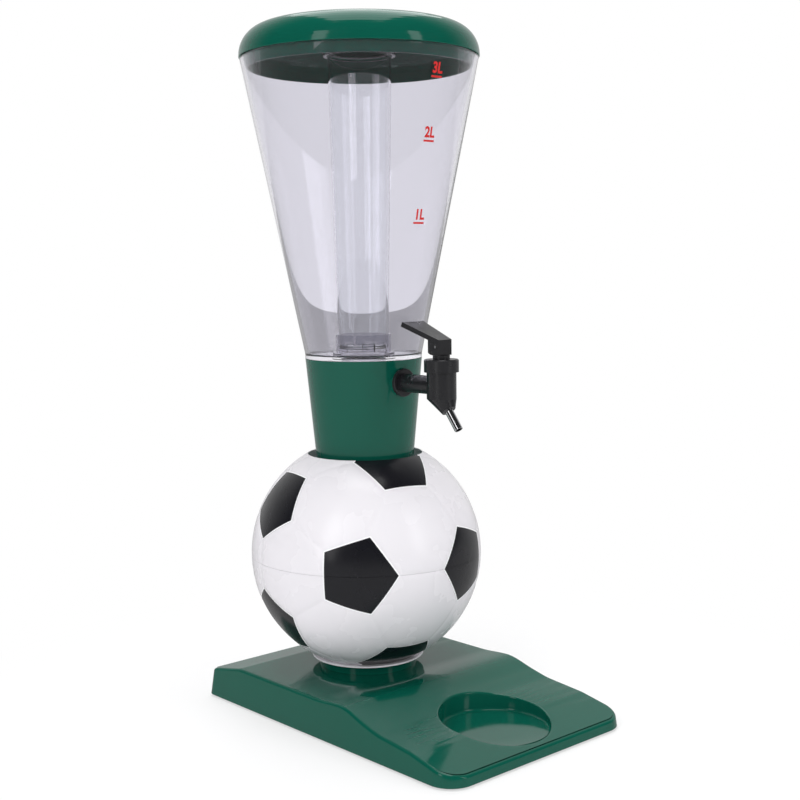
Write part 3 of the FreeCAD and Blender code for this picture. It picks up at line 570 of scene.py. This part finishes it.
def ball():
    ball_half("football_upper_half", "ball_upper_shell", True)
    ball_half("football_lower_half", "ball_lower_shell", False)
    top = mouth_high.z
    seat = top - SOCKET_DEPTH
    lining = [
        (BALL_MOUTH - 0.1, top - 0.4, 0.3),
        (BALL_MOUTH + 1.0, top - 1.2, 0.2),
        (BALL_MOUTH + SOCKET_FLOOR, top - 4, 0.0),
        (BALL_MOUTH + SOCKET_FLOOR, seat - SOCKET_FLOOR, 0.5),
        (SOCKET_HOLE, seat - SOCKET_FLOOR, 0.3),
        (SOCKET_HOLE, seat - 0.02, 0.3),
        (BALL_MOUTH - 0.1, seat - 0.02, 0.8),
    ]
    lathe("football_socket_lining", lining, "stand", "ball_white", WHITE)


# Base


BASE_WIDTH = 198.0
BASE_LENGTH = 300.0
BASE_DRAFT = 0.145
BASE_RIM = 1.5
BASE_EDGE = 2.2
FRONT_CORNER = 21.0
REAR_CORNER = 8.0
GLASS_CENTRE = Vector((0.0, -98.0))
GLASS_RADIUS = 43.5
GLASS_FLOOR = 9.5
GLASS_RIM = 1.3
GLASS_COVE = 2.2
PEDESTAL_RADIUS = 41.0
PEDESTAL_RISE = 4.6
FLANGE_RADIUS = 47.5
BASE_FOOT = (
    (2.8, 6.0),
    (2.8, BASE_RIM + 0.3),
    (2.3, BASE_RIM),
    (0.5, BASE_RIM),
    (0.0, BASE_RIM + 0.5),
)
CREASES = (-105.2, -72.0, 108.0)
DECK_PROFILE = (
    (-150.0, 9.8),
    (-105.2, 18.9),
    (-72.0, 22.1),
    (-53.9, 25.94),
    (-24.4, 33.0),
    (6.0, 31.2),
    (108.0, 31.2),
    (150.0, 23.2),
)


def deck_height(y):
    """The base's top along its length: straight runs, and a wave between the shelf and the deck."""
    profile = DECK_PROFILE
    for index in range(len(profile) - 1):
        (y0, z0), (y1, z1) = profile[index], profile[index + 1]
        if y > y1 and index < len(profile) - 2:
            continue
        share = (y - y0) / (y1 - y0)
        if index in (0, 1, 5, 6):
            return z0 + (z1 - z0) * share
        before, after = profile[index - 1], profile[index + 2]
        slope0 = (z1 - before[1]) / (y1 - before[0]) if index > 2 else 0.097
        slope1 = (after[1] - z0) / (after[0] - y0) if index < 4 else 0.0
        if index == 3:
            slope1 = 0.0
        if index == 4:
            slope0 = 0.0
        run = y1 - y0
        a = 2 * share ** 3 - 3 * share ** 2 + 1
        b = share ** 3 - 2 * share ** 2 + share
        c = -2 * share ** 3 + 3 * share ** 2
        d = share ** 3 - share ** 2
        return a * z0 + b * run * slope0 + c * z1 + d * run * slope1
    return profile[-1][1]


def base_outline(inset, steps=14):
    """The plan's points, drawn in by an inset: wide front corners and tight rear ones."""
    half_x = BASE_WIDTH / 2 - inset
    half_y = BASE_LENGTH / 2 - inset
    points = []
    for sign_x, sign_y, radius, start in (
        (1, -1, FRONT_CORNER, -90),
        (1, 1, REAR_CORNER, 0),
        (-1, 1, REAR_CORNER, 90),
        (-1, -1, FRONT_CORNER, 180),
    ):
        radius = max(radius - inset, 0.5)
        middle = Vector((sign_x * (half_x - radius), sign_y * (half_y - radius)))
        for step in range(steps + 1):
            angle = math.radians(start + 90 * step / steps)
            points.append(middle + Vector((math.cos(angle), math.sin(angle))) * radius)
    filled = []
    for index, point in enumerate(points):
        following = points[(index + 1) % len(points)]
        parts = max(1, round((following - point).length / 4))
        for part in range(parts):
            filled.append(point.lerp(following, part / parts))
    return filled


def join_rings(bm, rings):
    for number in range(len(rings) - 1):
        first, second = rings[number], rings[number + 1]
        for index in range(len(first)):
            other = (index + 1) % len(first)
            bm.faces.new((first[index], first[other], second[other], second[index]))


def lean(height):
    return BASE_DRAFT * (height - BASE_RIM)


def base_side_rings(bm):
    """Rings from the rim inside the base, up its leaning side and over the rounded top edge."""
    plan = base_outline(0)
    count = len(plan)
    normals = []
    for index in range(count):
        along = plan[(index + 1) % count] - plan[index - 1]
        normals.append(Vector((along.y, -along.x)).normalized())

    def ring(inset, height_of):
        made = []
        for point, normal in zip(plan, normals):
            height = height_of(point.y)
            moved = point - normal * (inset + lean(height))
            made.append(bm.verts.new(Vector((moved.x, moved.y, height)) * MM))
        return made

    rings = []
    for inset, height in BASE_FOOT:
        rings.append(ring(inset, lambda y, height=height: height))
    steps = 6
    for step in range(steps + 1):
        angle = math.pi / 2 * step / steps
        inset = BASE_EDGE * (1 - math.cos(angle))
        drop = BASE_EDGE * (1 - math.sin(angle))
        rings.append(ring(inset, lambda y, drop=drop: deck_height(y) - drop))
    return rings


def recess_rings(bm):
    """Rings from the recess's rounded rim down its wall and across its floor."""
    segments = 120

    def ring(radius, height_of):
        made = []
        for index in range(segments):
            angle = 2 * math.pi * index / segments
            x = GLASS_CENTRE.x + radius * math.cos(angle)
            y = GLASS_CENTRE.y + radius * math.sin(angle)
            made.append(bm.verts.new(Vector((x, y, height_of(y))) * MM))
        return made

    rings = []
    for step in range(6):
        angle = math.pi / 2 * step / 5
        radius = GLASS_RADIUS + GLASS_RIM * (1 - math.sin(angle))
        drop = GLASS_RIM * (1 - math.cos(angle))
        rings.append(ring(radius, lambda y, drop=drop: deck_height(y) - drop))
    for step in range(6):
        angle = math.pi / 2 * step / 5
        radius = GLASS_RADIUS - GLASS_COVE * (1 - math.cos(angle))
        rise = GLASS_COVE * (1 - math.sin(angle))
        rings.append(ring(radius, lambda y, rise=rise: GLASS_FLOOR + rise))
    rings.append(ring(GLASS_RADIUS * 0.5, lambda y: GLASS_FLOOR))
    return rings


def is_outer_face(centre, normal):
    """Whether a face of the plain base lies on the outside that the finer skin takes over."""
    if centre.z > deck_height(centre.y) - 1.5 and normal.z > 0.3:
        return True
    inset = lean(centre.z) + 1.9
    half_x = BASE_WIDTH / 2
    half_y = BASE_LENGTH / 2
    x, y = abs(centre.x), abs(centre.y)
    beyond = x > half_x - inset or y > half_y - inset
    if x > half_x - FRONT_CORNER and y > half_y - FRONT_CORNER:
        middle = Vector((half_x - FRONT_CORNER, half_y - FRONT_CORNER))
        beyond = (Vector((x, y)) - middle).length > FRONT_CORNER - inset
    if beyond:
        return True
    from_glass = (Vector((centre.x, centre.y)) - GLASS_CENTRE).length
    if from_glass < GLASS_RADIUS + 0.2 and centre.z > GLASS_FLOOR - 0.2:
        return True
    from_tower = (Vector((centre.x, centre.y)) - Vector((0, TOWER_Y))).length
    return centre.z > deck_height(centre.y) - 0.5 and from_tower < PEDESTAL_RADIUS - 1.0


def cut_across(bm, y):
    bmesh.ops.bisect_plane(
        bm,
        geom=bm.verts[:] + bm.edges[:] + bm.faces[:],
        plane_co=(0, y * MM, 0),
        plane_no=(0, 1, 0),
    )


def drip_base():
    bm = bmesh.new()
    sides = base_side_rings(bm)
    well = recess_rings(bm)
    join_rings(bm, sides)
    join_rings(bm, well)
    bm.faces.new(well[-1])
    inner = [v.co.copy() for v in sides[-1]]
    hole = [v.co.copy() for v in well[0]]
    flat = bmesh.new()
    edges = []
    for loop in (inner, hole):
        verts = [flat.verts.new((co.x, co.y, 0)) for co in loop]
        for index, vert in enumerate(verts):
            edges.append(flat.edges.new((vert, verts[(index + 1) % len(verts)])))
    bmesh.ops.triangle_fill(flat, use_beauty=True, use_dissolve=False, edges=edges, normal=(0, 0, 1))
    y = -148.0
    while y < 148.0:
        curved = -74 < y < 10
        y += 1.5 if curved else 6.0
        cut_across(flat, y)
    for crease in CREASES:
        cut_across(flat, crease)
    for vert in flat.verts:
        vert.co.z = deck_height(vert.co.y / MM) * MM
    deck = bpy.data.meshes.new("deck")
    flat.to_mesh(deck)
    flat.free()
    bm.from_mesh(deck)
    bmesh.ops.remove_doubles(bm, verts=bm.verts[:], dist=0.01 * MM)
    bmesh.ops.recalc_face_normals(bm, faces=bm.faces)
    plain = bmesh.new()
    plain.from_mesh(frame["nodes"]["base_shell"].data)
    outer = [face for face in plain.faces if is_outer_face(face.calc_center_median() / MM, face.normal)]
    bmesh.ops.delete(plain, geom=outer, context="FACES")
    under = bpy.data.meshes.new("underside")
    plain.to_mesh(under)
    plain.free()
    bm.from_mesh(under)
    mesh = bpy.data.meshes.new("drip_base")
    bm.to_mesh(mesh)
    bm.free()
    smooth_by_angle(mesh, 32)
    add_mesh("drip_base", mesh, [GREEN], "stand", "green_plastic", "base_shell")
    pad_top = ball_low.z + PEDESTAL_RISE
    deck = deck_height(TOWER_Y) - 0.4
    pad = [
        (0, pad_top, 0),
        (PEDESTAL_RADIUS, pad_top, 0.8),
        (PEDESTAL_RADIUS, deck, 0.0),
        (PEDESTAL_RADIUS - 3, deck, 0.0),
        (PEDESTAL_RADIUS - 3, pad_top - 2.5, 0.0),
        (0, pad_top - 2.5, 0),
    ]
    lathe("ball_pad", pad, "stand", "green_plastic", GREEN)
    flange = [
        (FLANGE_RADIUS - 9, pad_top + 1.5, 0),
        (FLANGE_RADIUS, pad_top + 1.5, 0.6),
        (FLANGE_RADIUS, pad_top + 0.1, 0.4),
        (FLANGE_RADIUS - 9, pad_top + 0.1, 0),
    ]
    lathe("ball_foot_flange", flange, "stand", "ball_white", WHITE)


# Vessel, lid and ice tube


def vessel():
    base = vessel_low.z + NECK_DEPTH
    floor = base + VESSEL_FLOOR
    groove_low = vessel_low.z + GROOVE_START
    groove_high = groove_low + GROOVE_HEIGHT
    groove_radius = NECK_RADIUS - GROOVE_DEPTH
    top = vessel_high.z
    corners = [
        (NECK_RADIUS, vessel_low.z, 0.5),
        (NECK_RADIUS, groove_low, 0.0),
        (groove_radius, groove_low, 0.0),
        (groove_radius, groove_high, 0.0),
        (NECK_RADIUS, groove_high, 0.0),
        (NECK_RADIUS, base, 0.3),
        (VESSEL_FOOT, base, 0.5),
        (VESSEL_FOOT, floor, 0.6),
        (VESSEL_RIM, top, 1.0),
        (VESSEL_RIM - VESSEL_WALL, top, 1.0),
        (VESSEL_FOOT - VESSEL_WALL, floor, 2.0),
        (DRAIN_RADIUS, floor, 0.4),
        (DRAIN_RADIUS, base, 0.3),
        (NECK_RADIUS - NECK_WALL, base, 0.6),
        (NECK_RADIUS - NECK_WALL, vessel_low.z, 0.5),
    ]
    lathe(
        "clear_vessel", corners, "reservoir", "clear_plastic", CLEAR, "reservoir", segments=192
    )


def ice_tube():
    hub_end = lid_low.z + SKIRT_DEPTH + LID_HEIGHT - LID_WALL - HUB_HEIGHT
    flange_top = hub_end - SEAT_GAP - TUBE_SEAL
    flange = flange_top - TUBE_FLANGE
    inner_floor = tube_low.z + TUBE_WALL
    corners = [
        (0, tube_low.z, 0),
        (TUBE_FOOT, tube_low.z, 2.0),
        (TUBE_TOP, flange, 0.6),
        (HUB_RADIUS, flange, 0.7),
        (HUB_RADIUS, flange_top, 0.5),
        (TUBE_THREAD, flange_top, 0.2),
        (TUBE_THREAD, tube_high.z, 0.5),
        (TUBE_TOP - TUBE_WALL, tube_high.z, 0.5),
        (TUBE_TOP - TUBE_WALL, flange, 1.0),
        (TUBE_FOOT - TUBE_WALL, inner_floor, 1.5),
        (0, inner_floor, 0),
    ]
    lathe("clear_ice_tube", corners, "ice_tube", "clear_plastic", TUBE_CLEAR, "ice_tube", segments=128)


def lid():
    base = lid_low.z + SKIRT_DEPTH
    roof = lid_high.z - LID_WALL
    skirt_end = SKIRT_RADIUS - SKIRT_TAPER
    hub_bore = HUB_RADIUS - HUB_WALL
    corners = [
        (0, lid_high.z, 0),
        (LID_RADIUS, lid_high.z, LID_SHOULDER),
        (LID_RADIUS, base, 0.5),
        (SKIRT_RADIUS, base, 0.3),
        (skirt_end, lid_low.z, 0.5),
        (skirt_end - SKIRT_WALL, lid_low.z, 0.5),
        (LID_INNER_RADIUS, base, 0.0),
        (LID_INNER_RADIUS, roof, LID_INNER_SHOULDER),
        (HUB_RADIUS, roof, 1.0),
        (HUB_RADIUS, roof - HUB_HEIGHT, 0.5),
        (hub_bore, roof - HUB_HEIGHT, 0.5),
        (hub_bore, roof, 0.8),
        (0, roof, 0),
    ]
    lathe("domed_lid", corners, "lid", "green_plastic", GREEN, "lid", segments=192, steps=14)


# Volume marks printed on the vessel

MARK_TURN = math.radians(-1.0)
MARK_HEIGHTS = {1: 400.7, 2: 463.4, 3: 511.2}
MARK_SIZE = 11.0
MARK_RISE = 2.9
INK_HEIGHT = 0.06
BAR_HALF = 5.4
BAR_TALL = 1.5
BAR_STEPS = 12


def vessel_radius(height):
    base = vessel_low.z + NECK_DEPTH + VESSEL_FLOOR
    return VESSEL_FOOT + (VESSEL_RIM - VESSEL_FOOT) * (height - base) / (vessel_high.z - base)


def wrap_on_vessel(mesh, baseline, turn, width_scale):
    """Lays a flat mesh, in millimetres, round the front of the tapered vessel."""
    for vert in mesh.vertices:
        height = baseline + vert.co.y
        radius = vessel_radius(height) + INK_HEIGHT + vert.co.z
        angle = turn + vert.co.x * width_scale / vessel_radius(baseline)
        x = radius * math.sin(angle)
        y = TOWER_Y - radius * math.cos(angle)
        vert.co = Vector((x, y, height)) * MM


def number_mark(litres, baseline):
    curve = bpy.data.curves.new(f"mark_{litres}_text", "FONT")
    curve.body = f"{litres}L"
    curve.size = MARK_SIZE
    curve.align_x = "CENTER"
    curve.offset = 0.42
    holder = bpy.data.objects.new(f"mark_{litres}_source", curve)
    bpy.context.scene.collection.objects.link(holder)
    bpy.context.view_layer.update()
    evaluated = holder.evaluated_get(bpy.context.evaluated_depsgraph_get())
    mesh = bpy.data.meshes.new_from_object(evaluated)
    bpy.data.objects.remove(holder)
    wrap_on_vessel(mesh, baseline + MARK_RISE, MARK_TURN, 0.92)
    mesh.materials.clear()
    add_mesh(f"volume_mark_{litres}", mesh, [RED], "reservoir", "mark_red")


def bar_mark(litres, baseline):
    bm = bmesh.new()
    previous = None
    for step in range(BAR_STEPS + 1):
        x = -BAR_HALF + 2 * BAR_HALF * step / BAR_STEPS
        pair = (bm.verts.new((x, 0, 0)), bm.verts.new((x, BAR_TALL, 0)))
        if previous:
            bm.faces.new((previous[0], pair[0], pair[1], previous[1]))
        previous = pair
    mesh = bpy.data.meshes.new(f"mark_bar_{litres}")
    bm.to_mesh(mesh)
    bm.free()
    wrap_on_vessel(mesh, baseline - BAR_TALL / 2, MARK_TURN, 1.0)
    add_mesh(f"volume_bar_{litres}", mesh, [RED], "reservoir", "mark_red")


ball()
drip_base()
vessel()
ice_tube()
lid()
for litres, baseline in MARK_HEIGHTS.items():
    number_mark(litres, baseline)
    bar_mark(litres, baseline)


# Stage, light and camera


BEHIND = Vector((0.67, 0.742, 0.0))
MIDDLE = (0, 0, 0.3)
VESSEL_MIDDLE = (0, 0.05, 0.45)
SOFT_BOXES = (
    ("key_left", (-1.6, -0.6, 1.1), MIDDLE, 0.9, 1.4, 13, False),
    ("fill_right", (0.9, -1.6, 0.9), MIDDLE, 0.7, 1.3, 8, False),
    ("top", (0.1, 0.2, 2.0), MIDDLE, 1.2, 1.2, 16, False),
    ("top_panel", (0.30, 0.38, 2.0), VESSEL_MIDDLE, 1.1, 2.4, 14, True),
    ("front_panel_left", (-1.5, -0.3, 0.75), MIDDLE, 0.35, 1.2, 2.2, True),
    ("front_panel_right", (0.35, -1.5, 0.8), MIDDLE, 0.3, 1.2, 2.0, True),
)


def math_node(tree, operation, first, second):
    """A math node on two sources, each a socket or a plain value."""
    node = tree.nodes.new("ShaderNodeMath")
    node.operation = operation
    for socket, value in zip(node.inputs, (first, second)):
        if isinstance(value, (int, float)):
            socket.default_value = value
        else:
            link(tree, value, socket)
    return node.outputs["Value"]


def mixed(tree, factor, first, second):
    mix = tree.nodes.new("ShaderNodeMixShader")
    link(tree, factor, mix.inputs["Fac"])
    link(tree, first, mix.inputs[1])
    link(tree, second, mix.inputs[2])
    return mix.outputs["Shader"]


def spread(tree, source, from_min, from_max, to_min, to_max, smooth=False):
    node = tree.nodes.new("ShaderNodeMapRange")
    if smooth:
        node.interpolation_type = "SMOOTHSTEP"
    node.inputs["From Min"].default_value = from_min
    node.inputs["From Max"].default_value = from_max
    node.inputs["To Min"].default_value = to_min
    node.inputs["To Max"].default_value = to_max
    link(tree, source, node.inputs["Value"])
    return node.outputs["Result"]


def seen_directly(tree):
    """One for the camera's own rays and for those that pass through clear plastic."""
    path = tree.nodes.new("ShaderNodeLightPath")
    first = path.outputs["Is Camera Ray"]
    through = path.outputs["Is Transmission Ray"]
    return math_node(tree, "MAXIMUM", first, through), path


def floor_material():
    """Matt and pale, fading to plain white away from the object."""
    material = bpy.data.materials.new("floor_pale")
    material.use_nodes = True
    material.cycles.emission_sampling = "NONE"
    tree = material.node_tree
    matt = tree.nodes["Principled BSDF"]
    matt.inputs["Base Color"].default_value = (0.9, 0.9, 0.9, 1.0)
    matt.inputs["Roughness"].default_value = 0.9
    matt.inputs["Specular IOR Level"].default_value = 0.0
    white = tree.nodes.new("ShaderNodeEmission")
    white.inputs["Color"].default_value = (1.0, 1.0, 1.0, 1.0)
    white.inputs["Strength"].default_value = 1.0
    mirrored = tree.nodes.new("ShaderNodeEmission")
    mirrored.inputs["Color"].default_value = (1.0, 1.0, 1.0, 1.0)
    mirrored.inputs["Strength"].default_value = 0.45
    place = tree.nodes.new("ShaderNodeTexCoord")
    reach = tree.nodes.new("ShaderNodeVectorMath")
    reach.operation = "LENGTH"
    link(tree, place.outputs["Object"], reach.inputs[0])
    fade = spread(tree, reach.outputs["Value"], 0.16, 0.42, 0.55, 1.0, smooth=True)
    direct, path = seen_directly(tree)
    share = math_node(tree, "MULTIPLY", direct, fade)
    shown = mixed(tree, share, matt.outputs["BSDF"], white.outputs["Emission"])
    result = mixed(tree, path.outputs["Is Glossy Ray"], shown, mirrored.outputs["Emission"])
    link(tree, result, tree.nodes["Material Output"].inputs["Surface"])
    return material


def floor():
    bm = bmesh.new()
    bmesh.ops.create_circle(bm, cap_ends=True, radius=8.0, segments=96)
    mesh = bpy.data.meshes.new("floor")
    bm.to_mesh(mesh)
    bm.free()
    plane = bpy.data.objects.new("floor", mesh)
    bpy.context.scene.collection.objects.link(plane)
    mesh.materials.append(floor_material())


def soft_box(name, place, target, width, height, power, mirrored):
    """A soft area light; one that is not mirrored leaves no patch on glossy pieces."""
    lamp = bpy.data.lights.new(name, "AREA")
    lamp.shape = "RECTANGLE"
    lamp.size = width
    lamp.size_y = height
    lamp.energy = power
    holder = bpy.data.objects.new(name, lamp)
    holder.location = place
    holder.rotation_euler = (Vector(target) - Vector(place)).to_track_quat("-Z", "Y").to_euler()
    holder.visible_glossy = mirrored
    bpy.context.scene.collection.objects.link(holder)


def background_node(tree, colour, strength):
    node = tree.nodes.new("ShaderNodeBackground")
    node.inputs["Color"].default_value = (*colour, 1.0)
    node.inputs["Strength"].default_value = strength
    return node


def world():
    """White to look at, pale grey as light, and in reflections brighter behind the object."""
    world_data = bpy.data.worlds.new("studio")
    bpy.context.scene.world = world_data
    world_data.use_nodes = True
    tree = world_data.node_tree
    light = tree.nodes["Background"]
    light.inputs["Color"].default_value = (0.97, 0.97, 1.0, 1.0)
    light.inputs["Strength"].default_value = 0.42
    white = background_node(tree, (1.0, 1.0, 1.0), 1.0)
    studio = background_node(tree, (1.0, 1.0, 1.0), 1.0)
    place = tree.nodes.new("ShaderNodeTexCoord")
    along = tree.nodes.new("ShaderNodeVectorMath")
    along.operation = "DOT_PRODUCT"
    link(tree, place.outputs["Generated"], along.inputs[0])
    along.inputs[1].default_value = BEHIND
    bright = spread(tree, along.outputs["Value"], 0.0, 0.85, 0.02, 0.6, smooth=True)
    link(tree, bright, studio.inputs["Strength"])
    direct, path = seen_directly(tree)
    glossy = path.outputs["Is Glossy Ray"]
    mirrored = mixed(tree, glossy, light.outputs["Background"], studio.outputs["Background"])
    result = mixed(tree, direct, mirrored, white.outputs["Background"])
    link(tree, result, tree.nodes["World Output"].inputs["Surface"])


def camera():
    """The photograph's camera: where it stands about the tower, and how it is turned."""
    around_tower = math.radians(-40.55)
    distance = 1.0922
    height = 0.3726
    yaw = math.radians(-42.12)
    pitch = math.radians(6.15)
    roll = math.radians(-0.67)
    ahead = Vector((-math.sin(yaw), math.cos(yaw), 0))
    right = Vector((math.cos(yaw), math.sin(yaw), 0))
    forward = ahead * math.cos(pitch) - UP * math.sin(pitch)
    upward = UP * math.cos(pitch) + ahead * math.sin(pitch)
    screen_x = right * math.cos(roll) + upward * math.sin(roll)
    screen_y = upward * math.cos(roll) - right * math.sin(roll)
    lens = bpy.data.cameras.new("camera")
    lens.lens = 58.85
    lens.sensor_width = 36.0
    holder = bpy.data.objects.new("camera", lens)
    bpy.context.scene.collection.objects.link(holder)
    place = Vector(
        (math.sin(around_tower) * distance, TOWER_Y * MM - math.cos(around_tower) * distance, height)
    )
    turn = Matrix((screen_x, screen_y, -forward)).transposed().to_4x4()
    holder.matrix_world = Matrix.Translation(place) @ turn
    bpy.context.scene.camera = holder


floor()
world()
for soft_light in SOFT_BOXES:
    soft_box(*soft_light)
camera()
bpy.context.scene.view_settings.view_transform = "Standard"
